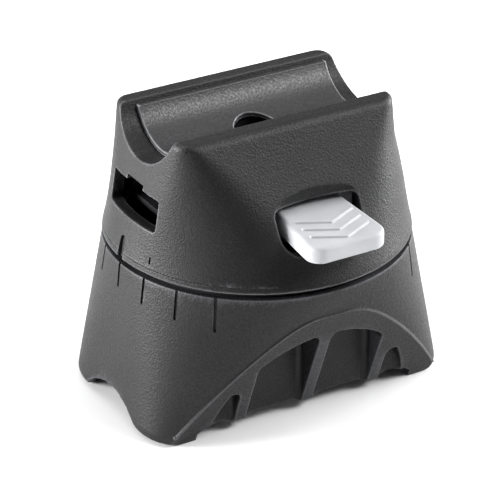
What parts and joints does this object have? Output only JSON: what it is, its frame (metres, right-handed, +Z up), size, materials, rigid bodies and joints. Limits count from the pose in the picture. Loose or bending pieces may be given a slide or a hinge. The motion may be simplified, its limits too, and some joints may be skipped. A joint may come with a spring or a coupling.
{
  "type": "lock carrier bracket",
  "caption": "Swivelling bicycle lock carrier: a cradle block with a tongue slot and a sliding release tab, turning on a flared base with a tube saddle.",
  "frame": {"origin": "on the swivel axis, at the middle of the tube saddle, on the plane of the four feet", "axes": "+Z up along the swivel axis, +X along the cradle and the bicycle tube away from the tongue slot's mouth, -Y towards the release tab"},
  "size_m": [0.0662, 0.0644, 0.0592],
  "materials": {
    "base_nylon": "satin, fine moulded grain",
    "housing_nylon": "satin, fine moulded grain",
    "inner_nylon": "satin moulded",
    "liner_elastomer": "satin elastomer",
    "pad_rubber": "matte rubber",
    "seal_rubber": "matte rubber",
    "tab_plastic": "satin moulded",
    "acetal": "smooth natural",
    "zinc_steel": "zinc plated",
    "spring_steel": "drawn spring wire",
    "black_steel": "black oxide"
  },
  "bodies": {
    "base": {"base_body": "base_nylon", "frame_pad": "pad_rubber", "captive_nut": "zinc_steel", "pivot_sleeve": "zinc_steel", "pivot_screw": "black_steel", "head_washer": "zinc_steel", "spring_washer": "spring_steel", "thrust_washer": "acetal", "seal_ring": "seal_rubber"},
    "housing": {"latch_housing": "housing_nylon", "trough_liner": "liner_elastomer", "turntable_plate": "inner_nylon", "turntable_screws": "zinc_steel", "pivot_bush": "acetal", "stop_pin": "zinc_steel", "latch_frame": "inner_nylon", "return_springs": "spring_steel"},
    "tab": {"release_button": "tab_plastic", "latch_plate": "zinc_steel", "latch_rivets": "zinc_steel"}
  },
  "joints": [
    {"name": "swivel", "type": "hinge", "parent": "base", "child": "housing", "pos_m": [0, 0, 0.032], "axis": [0, 0, 1], "range_deg": [-45, 45]},
    {"name": "tab_slide", "type": "slide", "parent": "housing", "child": "tab", "axis": [0, 1, 0], "range_m": [0, 0.003], "stiffness_N_per_m": 1200, "springref_m": -0.002, "deforming": ["return_springs"]}
  ]
}
